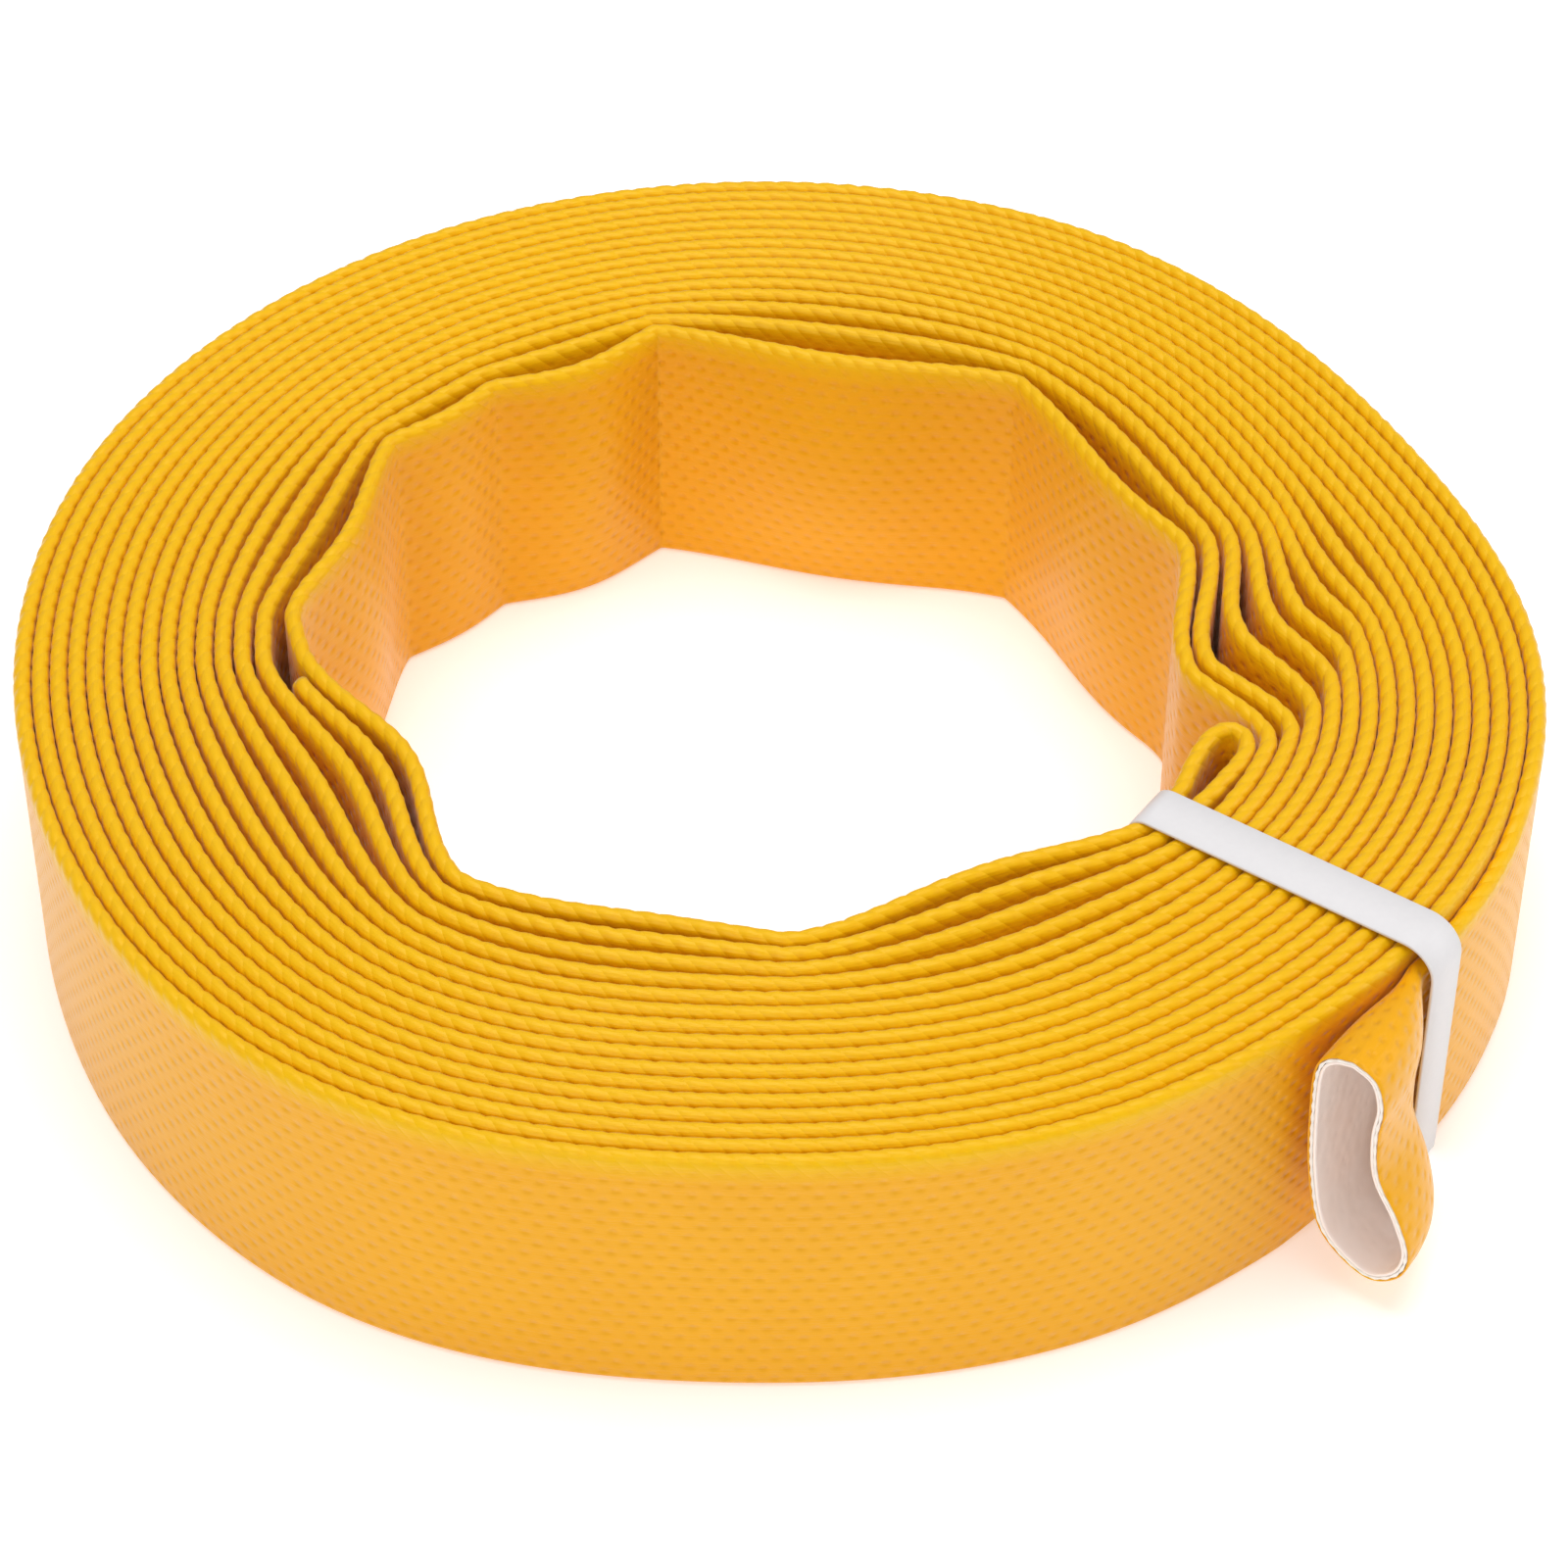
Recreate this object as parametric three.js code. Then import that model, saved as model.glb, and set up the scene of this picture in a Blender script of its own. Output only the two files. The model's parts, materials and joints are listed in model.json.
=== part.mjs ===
// A rolled layflat hose: ten metres of flat-wound hose, its loose outer end and the band round it.
// Millimetres, +Z up. The roll stands on Z = 0 with its winding axis near the Z axis.
// Azimuths are degrees from +X, anticlockwise seen from above; the winding runs inwards that way.
import * as THREE from 'three';

// The hose, pressed flat
const HOSE_WIDTH = 52;          // edge to edge, which is the height of the roll
const HOSE_THICKNESS = 2.6;     // two walls face to face
const COVER_WALL = 0.7;         // cover and woven yarn, of each wall
const LINING_THICKNESS = 0.6;   // the white lining pressed flat inside the cover
const EDGE_WALL = 1.0;          // wall at the two folded edges
const FIT_GAP = 0.3;            // between pieces that lie against each other

// The winding
const OUTER_RADIUS = 127.7;     // middle of the roll's outline
const PITCH = 3.0;              // from one turn to the next
const PITCH_TO_THE_BACK = 0.1;  // how much tighter the turns lie at the back than at the sides
const TURNS = 15;               // from the band to the hairpin
const STEP = 8;                 // degrees between two sections of the hose
const BAND_AZIMUTH = -35;       // the outer end leaves the roll here
const LEAVES_BAND = 2.6;        // degrees past the band's middle where the loose end begins
const HAIRPIN_AZIMUTH = -20;    // the inner end turns back here
const HAIRPIN_RADIUS = 2.3;
const LEG_END_AZIMUTH = -171;   // where the turned-back end stops
const LEG_ROOM = 3.3;           // how far the last turn stands in to make room for it

// How far the roll is out of round: centre, half-width (degrees), rise of every turn
const OUTLINE_SWELLS = [
  { at: -16, half: 44, rise: 4.1 }, { at: 30, half: 36, rise: -3.3 }, { at: 186, half: 34, rise: -0.8 },
  { at: 232, half: 40, rise: 1.6 }, { at: 268, half: 36, rise: -3.2 },
];
// A dent that the inner turns share, fading over most of the roll
const DENT = { at: 14, half: 34, depth: 3.8, reach: 15, fade: 0.8 };
// The innermost turn hangs inwards in bays between creases. Azimuths of the two creases, depth on
// the innermost turn, turns over which it dies away, and how soft the creases are
const BAYS = [
  { from: 17, to: 56, depth: 5.2, reach: 1.0, soft: 1.0 },
  { from: 56, to: 103, depth: 8.6, reach: 1.3, soft: 1.0 },
  { from: 103, to: 126, depth: 5.0, reach: 1.0, soft: 1.0 },
  { from: 126, to: 142, depth: 2.0, reach: 1.0, soft: 1.0 },
  { from: 142, to: 177, depth: 6.0, reach: 2.2, soft: 1.2 },
  { from: 184, to: 232, depth: 11.0, reach: 3.6, soft: 1.5 },
  { from: 230, to: 273, depth: 3.2, reach: 1.2, soft: 1.1 },
  { from: 273, to: 327, depth: 8.8, reach: 1.6, soft: 1.5 },
];
// How far each crease itself stands in from the round, on the innermost turn
const CREASES = [
  [-20, 0], [17, 1.5], [56, 2.6], [103, 0.2], [126, 2.6], [142, 1.2], [177, 1.9], [230, 2.3],
  [273, 0.6], [327, 0], [340, 0],
];
const CREASE_REACH = 1.6;
// The kink beside the hairpin, turn by turn from the inside: depth, the azimuths where it starts
// and is full, and the azimuths over which it ends
const KINKS = [
  [14.2, -18.5, -7, -5, 22], [14.0, -16, -5, -4, 21], [9.8, -12.5, 0, 1, 20], [6.5, -8, 2.5, 3, 20],
  [4.6, -3.5, 4, 5, 20], [2.8, 0, 7, 8, 22], [2.0, 1, 10, 11, 24], [1.2, 1, 11, 12, 25],
];

// The pressed groove under the roll, where the band passes beneath it
const GROOVE_DEPTH = 1.3;
const GROOVE = { from: -48, to: -17, flatFrom: -43, flatTo: -21 };

// The band
const BAND_WIDTH = 9;
const BAND_THICKNESS = 0.6;
const BAND_CLEARANCE = 0.5;
const BAND_CORNER = 2.2;
const BAND_SLIDE = 8;           // degrees that it can be pushed round the roll
const BAND_COVERS = 4.3;        // degrees each side of its middle that its inner limb covers
const BAND_SAMPLING = 0.1;      // share of a path step

// The loose outer end, which opens into a mouth
const FREE_LENGTH = 29;
const MOUTH_HEIGHT = 46.5;
const MOUTH_WIDTH = 14;
const MOUTH_SAG = 0.24;         // share by which the mouth is wider below than above
const FREE_SIDES = 28;
const FREE_STEPS = 5;
const SKIN = 0.45;              // cover wall at the loose end
const YARN = 0.3;               // woven polyester wall
const LINER = 0.45;             // lining wall
const PLY_GAP = 0.1;            // between those three
const FREE_TILT = 3;            // degrees that the loose end stands off the roll's tangent

const rad = THREE.MathUtils.degToRad;

function hump(azimuth, at, half) {
  const away = Math.abs(((azimuth - at + 540) % 360) - 180);
  return away < half ? 0.5 * (1 + Math.cos((Math.PI * away) / half)) : 0;
}

function polar(radius, azimuth) {
  return new THREE.Vector2(radius * Math.cos(rad(azimuth)), radius * Math.sin(rad(azimuth)));
}

// Linear interpolation in a list of [azimuth, value]
function along(list, azimuth) {
  const next = Math.max(1, list.findIndex(([at]) => at >= azimuth));
  const [[a, from], [b, to]] = [list[next - 1], list[next]];
  return THREE.MathUtils.mapLinear(azimuth, a, b, from, to);
}

// How far a turn is folded inwards; turn 1 is the innermost
function foldDepth(turn, azimuth) {
  const { smoothstep, clamp } = THREE.MathUtils;
  const shared = Math.max(0, 1 - (turn - 1) / DENT.reach) ** DENT.fade;
  let depth = DENT.depth * shared * hump(azimuth, DENT.at, DENT.half);
  depth += along(CREASES, azimuth) * Math.exp((1 - turn) / CREASE_REACH);
  for (const bay of BAYS) {
    const across = clamp((azimuth - bay.from) / (bay.to - bay.from), 0, 1);
    depth += bay.depth * Math.exp((1 - turn) / bay.reach) * Math.sin(Math.PI * across) ** bay.soft;
  }
  if (turn >= 1 && turn <= KINKS.length) {
    const [deep, starts, full, ends, gone] = KINKS[turn - 1];
    depth += deep * smoothstep(azimuth, starts, full) * (1 - smoothstep(azimuth, ends, gone));
  }
  return depth;
}

// Middle of the hose wall-to-wall, a number of degrees inwards from the band
function windingRadius(wound) {
  const turnsLeft = TURNS - (wound - (HAIRPIN_AZIMUTH - BAND_AZIMUTH)) / 360;
  const turned = (BAND_AZIMUTH + wound - HAIRPIN_AZIMUTH + 3600) % 360;
  const azimuth = turned + HAIRPIN_AZIMUTH;
  const turn = Math.round(turnsLeft + turned / 360);
  const pitch = PITCH - PITCH_TO_THE_BACK * Math.sin(rad(azimuth));
  let radius = OUTER_RADIUS - HOSE_THICKNESS / 2 - (pitch * wound) / 360;
  for (const swell of OUTLINE_SWELLS) radius += swell.rise * hump(azimuth, swell.at, swell.half);
  radius -= foldDepth(Math.max(1, turn), azimuth);
  const legSpan = (HAIRPIN_AZIMUTH - LEG_END_AZIMUTH) / 360;
  radius -= LEG_ROOM * (1 - THREE.MathUtils.smoothstep(turnsLeft, legSpan, legSpan + 0.05));
  return radius;
}

// A radius between the last turn and the one outside it, at 0 and at 1
function between(wound, share) {
  return THREE.MathUtils.lerp(windingRadius(wound), windingRadius(wound - 360), share);
}

function grooveRise(azimuth) {
  const turned = ((azimuth + 540) % 360) - 180;
  const entering = THREE.MathUtils.clamp((turned - GROOVE.from) / (GROOVE.flatFrom - GROOVE.from), 0, 1);
  const leaving = THREE.MathUtils.clamp((GROOVE.to - turned) / (GROOVE.to - GROOVE.flatTo), 0, 1);
  return GROOVE_DEPTH * Math.min(entering, leaving);
}

// The path of the hose seen from above: the turns, the hairpin and the turned-back end
function hosePath() {
  const points = [];
  const lastWound = TURNS * 360 + (HAIRPIN_AZIMUTH - BAND_AZIMUTH) - 10;
  const legEndWound = TURNS * 360 + LEG_END_AZIMUTH - BAND_AZIMUTH;
  const marks = new Set();
  for (let azimuth = 0; azimuth < 360; azimuth += STEP) marks.add(azimuth);
  for (const edge of [GROOVE.from, GROOVE.flatFrom, GROOVE.flatTo, GROOVE.to]) marks.add(edge + 360);
  const azimuths = [...marks].sort((a, b) => a - b);
  const firstWound = -LEAVES_BAND;
  points.push({ wound: firstWound });
  for (let turn = 0; turn <= TURNS + 1; turn += 1) {
    for (const azimuth of azimuths) {
      const wound = azimuth - BAND_AZIMUTH - 360 + turn * 360;
      if (wound > firstWound + 2 && wound < lastWound - 2) points.push({ wound });
    }
  }
  points.push({ wound: lastWound });
  for (const point of points) {
    point.azimuth = BAND_AZIMUTH + point.wound;
    point.place = polar(windingRadius(point.wound), point.azimuth);
  }
  // The hairpin opens round a small loop, and the end runs back between the last two turns
  const besideHairpin = windingRadius((TURNS - 1) * 360 + HAIRPIN_AZIMUTH - BAND_AZIMUTH);
  const bendAt = polar(besideHairpin - PITCH - 0.4 - HAIRPIN_RADIUS, HAIRPIN_AZIMUTH);
  const outwards = polar(1, HAIRPIN_AZIMUTH);
  const onwards = new THREE.Vector2(-outwards.y, outwards.x);
  const legStations = points.filter((point) => point.wound > legEndWound).reverse();
  for (const angle of [-90, -45, 0, 45, 90]) {
    const place = bendAt.clone()
      .addScaledVector(onwards, HAIRPIN_RADIUS * Math.cos(rad(angle)))
      .addScaledVector(outwards, HAIRPIN_RADIUS * Math.sin(rad(angle)));
    points.push({ place, azimuth: HAIRPIN_AZIMUTH });
  }
  for (const station of legStations) {
    points.push({ place: polar(between(station.wound, 0.5), station.azimuth), azimuth: station.azimuth });
  }
  return points;
}

// Sideways directions of a path, mitred where it bends
function sideways(points) {
  return points.map((point, i) => {
    const before = points[Math.max(0, i - 1)].place;
    const after = points[Math.min(points.length - 1, i + 1)].place;
    const into = point.place.clone().sub(before).normalize();
    const out = after.clone().sub(point.place).normalize();
    if (i === 0) into.copy(out);
    if (i === points.length - 1) out.copy(into);
    const along = into.clone().add(out).normalize();
    const widen = 1 / Math.max(0.7, along.dot(out));
    return new THREE.Vector2(along.y, -along.x).multiplyScalar(widen);
  });
}

// A flat rectangular section at each point of the hose
function flatRings(points, sides, halfThickness, edgeInset) {
  return points.map((point, i) => {
    const low = grooveRise(point.azimuth) + edgeInset;
    const high = HOSE_WIDTH - edgeInset;
    const right = point.place.clone().addScaledVector(sides[i], halfThickness);
    const left = point.place.clone().addScaledVector(sides[i], -halfThickness);
    return [
      new THREE.Vector3(right.x, right.y, low), new THREE.Vector3(right.x, right.y, high),
      new THREE.Vector3(left.x, left.y, high), new THREE.Vector3(left.x, left.y, low),
    ];
  });
}

// A closed body through rings of equal count; with inner rings it is a tube, open at both ends
function loft(outer, inner) {
  const count = outer[0].length;
  const rings = inner ? [...outer, ...inner] : outer;
  const vertices = rings.flat();
  const indices = [];
  const quad = (a, b, c, d) => indices.push(a, b, c, a, c, d);
  const skin = (start, flip) => {
    for (let i = 0; i < outer.length - 1; i += 1) {
      for (let j = 0; j < count; j += 1) {
        const k = (j + 1) % count;
        const low = start + i * count;
        const high = low + count;
        if (flip) quad(low + j, high + j, high + k, low + k);
        else quad(low + j, low + k, high + k, high + j);
      }
    }
  };
  skin(0, false);
  const last = (outer.length - 1) * count;
  if (inner) {
    const offset = outer.length * count;
    skin(offset, true);
    for (let j = 0; j < count; j += 1) {
      const k = (j + 1) % count;
      quad(k, j, offset + j, offset + k);
      quad(last + j, last + k, offset + last + k, offset + last + j);
    }
  } else {
    for (let j = 1; j < count - 1; j += 1) {
      indices.push(0, j + 1, j);
      indices.push(last, last + j, last + j + 1);
    }
  }
  let volume = 0;
  for (let i = 0; i < indices.length; i += 3) {
    const [a, b, c] = [vertices[indices[i]], vertices[indices[i + 1]], vertices[indices[i + 2]]];
    volume += a.dot(b.clone().cross(c)) / 6;
  }
  if (volume < 0) indices.reverse();
  const geometry = new THREE.BufferGeometry().setFromPoints(vertices);
  geometry.setIndex(indices);
  geometry.computeVertexNormals();
  return geometry;
}

// The loose end: a flat section under the band that opens into a bean-shaped mouth.
// Each section stands across the path; its inner side, against the roll, stays straight.
function freeRings(inset) {
  const start = polar(windingRadius(-LEAVES_BAND), BAND_AZIMUTH - LEAVES_BAND);
  const heading = rad(BAND_AZIMUTH - LEAVES_BAND - 90 + FREE_TILT);
  const along = new THREE.Vector2(Math.cos(heading), Math.sin(heading));
  const outwards = new THREE.Vector2(-along.y, along.x);
  const rings = [];
  for (let i = 0; i <= FREE_STEPS; i += 1) {
    const t = i / FREE_STEPS;
    const opening = THREE.MathUtils.smoothstep(t, 0, 0.9);
    const width = THREE.MathUtils.lerp(HOSE_THICKNESS + 1.2, MOUTH_WIDTH, opening) - 2 * inset;
    const height = THREE.MathUtils.lerp(HOSE_WIDTH, MOUTH_HEIGHT, opening) - 2 * inset;
    const middle = start.clone().addScaledVector(along, FIT_GAP + t * FREE_LENGTH);
    const ring = [];
    for (let j = 0; j < FREE_SIDES; j += 1) {
      const angle = (2 * Math.PI * j) / FREE_SIDES;
      const cosine = Math.sign(Math.cos(angle)) * Math.sqrt(Math.abs(Math.cos(angle)));
      const sag = 1 - MOUTH_SAG * opening * Math.sin(angle);
      const across = 0.5 * width * (1 + cosine) * (cosine > -1 ? sag : 1);
      const up = 0.5 * height * Math.sin(angle);
      const off = across + inset - HOSE_THICKNESS / 2;
      const place = middle.clone().addScaledVector(outwards, off);
      ring.push(new THREE.Vector3(place.x, place.y, HOSE_WIDTH / 2 + up));
    }
    rings.push(ring);
  }
  return rings;
}

// The band: a rounded rectangular loop round the bundle of turns, standing across the winding
function bandGeometry() {
  const passed = [];
  for (let i = 1; i < path.length; i += 1) {
    for (let share = 0; share < 1; share += BAND_SAMPLING) {
      const place = path[i - 1].place.clone().lerp(path[i].place, share);
      const azimuth = THREE.MathUtils.radToDeg(place.angle());
      const past = ((azimuth - BAND_AZIMUTH + 540) % 360) - 180;
      if (past > -BAND_COVERS && past < BAND_SLIDE + BAND_COVERS) passed.push(place.length());
    }
  }
  const inside = Math.min(...passed) * Math.cos(rad(BAND_COVERS)) - HOSE_THICKNESS / 2 - BAND_CLEARANCE;
  const outside = Math.max(...passed) + HOSE_THICKNESS / 2 + BAND_CLEARANCE;
  const low = GROOVE_DEPTH - BAND_CLEARANCE;
  const high = HOSE_WIDTH + BAND_CLEARANCE;
  const outline = (shape, grow, corner) => {
    const [x0, x1, y0, y1] = [inside - grow, outside + grow, low - grow, high + grow];
    shape.moveTo(x0 + corner, y0);
    shape.lineTo(x1 - corner, y0).absarc(x1 - corner, y0 + corner, corner, -Math.PI / 2, 0);
    shape.lineTo(x1, y1 - corner).absarc(x1 - corner, y1 - corner, corner, 0, Math.PI / 2);
    shape.lineTo(x0 + corner, y1).absarc(x0 + corner, y1 - corner, corner, Math.PI / 2, Math.PI);
    shape.lineTo(x0, y0 + corner).absarc(x0 + corner, y0 + corner, corner, Math.PI, 1.5 * Math.PI);
    return shape;
  };
  const shape = outline(new THREE.Shape(), BAND_THICKNESS, BAND_CORNER);
  shape.holes.push(outline(new THREE.Path(), 0, BAND_CORNER - BAND_THICKNESS));
  const geometry = new THREE.ExtrudeGeometry(shape, { depth: BAND_WIDTH, bevelEnabled: false, curveSegments: 4 });
  geometry.translate(0, 0, -BAND_WIDTH / 2);
  geometry.rotateX(Math.PI / 2);
  geometry.rotateZ(rad(BAND_AZIMUTH));
  return geometry;
}

const coverPaint = new THREE.MeshStandardMaterial({ color: 0xf2b01e, roughness: 0.42, metalness: 0 });
const liningPaint = new THREE.MeshStandardMaterial({ color: 0xf3ece6, roughness: 0.6, metalness: 0 });
const yarnPaint = new THREE.MeshStandardMaterial({ color: 0xe9e2d2, roughness: 0.85, metalness: 0 });
const bandPaint = new THREE.MeshStandardMaterial({ color: 0xe2dddd, roughness: 0.5, metalness: 0 });

function piece(name, geometry, material) {
  const mesh = new THREE.Mesh(geometry, material);
  mesh.name = name;
  return mesh;
}

const group = new THREE.Group();
const path = hosePath();
const sides = sideways(path);

const slitHalf = HOSE_THICKNESS / 2 - COVER_WALL;
const coilOuter = flatRings(path, sides, HOSE_THICKNESS / 2, 0);
const coilSlit = flatRings(path, sides, slitHalf, EDGE_WALL);
const coilLining = flatRings(path, sides, LINING_THICKNESS / 2, EDGE_WALL + FIT_GAP);
group.add(piece('coil_cover', loft(coilOuter, coilSlit), coverPaint));
group.add(piece('coil_lining', loft(coilLining), liningPaint));

const yarnOutside = SKIN + PLY_GAP;
const yarnInside = yarnOutside + YARN;
const liningOutside = yarnInside + PLY_GAP;
const liningInside = liningOutside + LINER;
group.add(piece('free_end_cover', loft(freeRings(0), freeRings(SKIN)), coverPaint));
group.add(piece('free_end_reinforcement', loft(freeRings(yarnOutside), freeRings(yarnInside)), yarnPaint));
group.add(piece('free_end_lining', loft(freeRings(liningOutside), freeRings(liningInside)), liningPaint));
group.add(piece('retaining_band', bandGeometry(), bandPaint));

// The origin is the middle of the roll's outline, on the surface that it stands on
const extent = new THREE.Box3().setFromObject(group);
const middle = extent.getCenter(new THREE.Vector3());
group.position.set(-middle.x, -middle.y, -extent.min.z);
group.updateMatrixWorld(true);

export default group;
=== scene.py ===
import json
import math

import bmesh
import bpy
import numpy as np
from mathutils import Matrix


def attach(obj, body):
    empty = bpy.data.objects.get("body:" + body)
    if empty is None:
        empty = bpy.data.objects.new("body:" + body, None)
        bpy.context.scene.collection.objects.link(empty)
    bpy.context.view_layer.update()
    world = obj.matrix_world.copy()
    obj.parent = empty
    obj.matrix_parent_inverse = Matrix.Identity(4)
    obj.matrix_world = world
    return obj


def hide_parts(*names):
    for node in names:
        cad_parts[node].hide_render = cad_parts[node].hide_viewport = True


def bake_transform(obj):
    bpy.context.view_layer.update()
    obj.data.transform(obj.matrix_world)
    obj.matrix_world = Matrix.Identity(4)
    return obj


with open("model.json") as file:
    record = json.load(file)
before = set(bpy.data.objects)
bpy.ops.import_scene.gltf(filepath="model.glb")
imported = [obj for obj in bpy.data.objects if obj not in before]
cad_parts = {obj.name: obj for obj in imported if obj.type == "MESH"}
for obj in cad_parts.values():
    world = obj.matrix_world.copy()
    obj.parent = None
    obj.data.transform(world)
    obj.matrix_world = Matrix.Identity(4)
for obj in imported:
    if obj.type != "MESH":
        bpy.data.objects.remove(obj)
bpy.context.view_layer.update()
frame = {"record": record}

# ---------------------------------------------------------------- where it is looked at from
# The roll lies flat on a table, a little below eye level, with its loose end at the right of the
# front. Everything is placed from the winding axis, which the slide of the band turns about.
MM = 0.001
slide = next(j for j in frame["record"]["behaviour"]["joints"] if j["name"] == "band_slide_round")
WINDING_AXIS = np.array(slide["pos_m"][:2])
EYE_ELEVATION = math.radians(43.89)
EYE_DISTANCE = 0.8598
eye = bpy.data.cameras.new("eye")
eye.lens = 112.5
eye.sensor_width = 36.0
eye.shift_x, eye.shift_y = 0.0144, 0.0419
eye.clip_start = 0.05
eye_stand = bpy.data.objects.new("eye", eye)
eye_stand.location = (WINDING_AXIS[0], WINDING_AXIS[1] - EYE_DISTANCE * math.cos(EYE_ELEVATION),
                      EYE_DISTANCE * math.sin(EYE_ELEVATION))
eye_stand.rotation_euler = (math.pi / 2 - EYE_ELEVATION, 0, 0)
bpy.context.scene.collection.objects.link(eye_stand)
bpy.context.scene.camera = eye_stand

# ---------------------------------------------------------------- the wound hose
# Ten metres of layflat hose: woven polyester tube with a thick yellow vinyl cover, pressed flat
# and wound on itself face to face. It is one length, made here in stretches that meet under the
# band. The path is that of the CAD model, in millimetres from the winding axis.
HOSE_WIDTH = 52.0
HOSE_THICKNESS = 2.84
COVER_WALL = 0.85
EDGE_WALL = 1.2
OUTER_RADIUS, CAD_THICKNESS = 127.7, 2.6
PITCH, PITCH_TO_THE_BACK = 3.0, 0.1
TURNS = 15
BAND_AZIMUTH, HAIRPIN_AZIMUTH, LEG_END_AZIMUTH = -35.0, -20.0, -171.0
LEG_ROOM = 3.3
YARN_PITCH, ROW_PITCH, YARN_SLANT = 3.83, 2.36, 0.9
STATIONS_A_YARN = 4
SWELLS = [(-16, 44, 4.1), (30, 36, -3.3), (186, 34, -0.8), (232, 40, 1.6), (268, 36, -3.2)]
DENT_AT, DENT_HALF, DENT_DEPTH, DENT_REACH, DENT_FADE = 14, 34, 3.8, 15, 0.8
# the bays of the innermost turn: from, to, depth, turns it dies away over, softness, bow at mid-height
BAYS = [(17, 56, 5.2, 1.0, 1.0, 2.6), (56, 103, 8.6, 1.3, 1.0, 4.2), (103, 126, 5.0, 1.0, 1.0, 2.4),
        (126, 142, 2.0, 1.0, 1.0, 0.8), (142, 177, 6.0, 2.2, 1.2, 2.6), (184, 232, 11.0, 3.6, 1.5, 0.8),
        (230, 273, 3.2, 1.2, 1.1, 0.6), (273, 327, 8.8, 1.6, 1.5, 0.8)]
CREASES = np.array([(-20, 0), (17, 1.5), (56, 2.6), (103, 0.2), (126, 2.6), (142, 1.2), (177, 1.9),
                    (230, 2.3), (273, 0.6), (327, 0), (340, 0)])
CREASE_REACH = 1.6
# the kink beside the hairpin, turn by turn: depth, where it starts and is full, where it ends
KINKS = [(14.2, -18.5, -7, -5, 22), (14.0, -16, -5, -4, 21), (9.8, -12.5, 0, 1, 20),
         (6.5, -8, 2.5, 3, 20), (4.6, -3.5, 4, 5, 20), (2.8, 0, 7, 8, 22), (2.0, 1, 10, 11, 24),
         (1.2, 1, 11, 12, 25)]
# the loop where the inner end turns back: azimuth and radius
HAIRPIN = [(-29.5, 78.4), (-26.0, 77.8), (-22.8, 77.7), (-19.8, 78.2), (-17.7, 79.9), (-17.4, 82.3),
           (-18.8, 84.3), (-20.8, 84.8), (-23.2, 84.4), (-26.0, 83.6), (-29.0, 83.0)]
GROOVE_DEPTH, GROOVE_ENDS, GROOVE_FLAT = 1.3, (-48, -17), (-43, -21)


def smoothstep(x, start, end):
    t = np.clip((x - start) / (end - start), 0, 1)
    return t * t * (3 - 2 * t)


def hump(azimuth, at, half):
    away = np.abs((azimuth - at + 540) % 360 - 180)
    return np.where(away < half, 0.5 + 0.5 * np.cos(np.pi * away / half), 0)


def turn_and_azimuth(wound):
    """The turn counted from the innermost, and the azimuth from the hairpin round to it again."""
    left = TURNS - (wound - (HAIRPIN_AZIMUTH - BAND_AZIMUTH)) / 360
    turned = (BAND_AZIMUTH + wound - HAIRPIN_AZIMUTH) % 360
    return left, np.maximum(1, np.round(left + turned / 360)), turned + HAIRPIN_AZIMUTH


def winding_radius(wound):
    left, turn, azimuth = turn_and_azimuth(wound)
    pitch = PITCH - PITCH_TO_THE_BACK * np.sin(np.radians(azimuth))
    radius = OUTER_RADIUS - CAD_THICKNESS / 2 - pitch * wound / 360
    for at, half, rise in SWELLS:
        radius = radius + rise * hump(azimuth, at, half)
    shared = np.clip(1 - (turn - 1) / DENT_REACH, 0, 1) ** DENT_FADE
    radius = radius - DENT_DEPTH * shared * hump(azimuth, DENT_AT, DENT_HALF)
    creased = np.interp(azimuth, CREASES[:, 0], CREASES[:, 1])
    radius = radius - creased * np.exp((1 - turn) / CREASE_REACH)
    for start, end, depth, reach, soft, _ in BAYS:
        across = np.clip((azimuth - start) / (end - start), 0, 1)
        radius = radius - depth * np.exp((1 - turn) / reach) * np.sin(np.pi * across) ** soft
    for number, (depth, starts, full, ends, gone) in enumerate(KINKS, start=1):
        bent = depth * smoothstep(azimuth, starts, full) * (1 - smoothstep(azimuth, ends, gone))
        radius = radius - np.where(turn == number, bent, 0)
    leg_span = (HAIRPIN_AZIMUTH - LEG_END_AZIMUTH) / 360
    return radius - LEG_ROOM * (1 - smoothstep(left, leg_span, leg_span + 0.05))


def mid_height_bow(wound):
    """How far the wall stands in at half its height, where nothing inside it holds it."""
    _, turn, azimuth = turn_and_azimuth(wound)
    bow = np.zeros_like(azimuth)
    for start, end, _, reach, _, bowed in BAYS:
        across = np.clip((azimuth - start) / (end - start), 0, 1)
        bow = bow + bowed * np.sin(np.pi * across) ** 2
    return np.where(turn == 1, bow, 0)


def polar(azimuth, radius):
    turned = np.radians(azimuth)
    return np.stack([radius * np.cos(turned), radius * np.sin(turned)], axis=-1)


def evenly(places, spacing, *also):
    """The path through places again with even steps, with the travel along it and other columns."""
    travel = np.concatenate([[0], np.cumsum(np.linalg.norm(np.diff(places, axis=0), axis=1))])
    steps = np.linspace(0, travel[-1], max(2, int(round(travel[-1] / spacing)) + 1))
    columns = [np.interp(steps, travel, column) for column in (places[:, 0], places[:, 1], *also)]
    return np.stack(columns[:2], axis=-1), steps, columns[2:]


def rounded(places, passes):
    """Takes the angles out of a path, keeping its ends."""
    for _ in range(passes):
        places[1:-1] = 0.25 * places[:-2] + 0.5 * places[1:-1] + 0.25 * places[2:]
    return places


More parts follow.
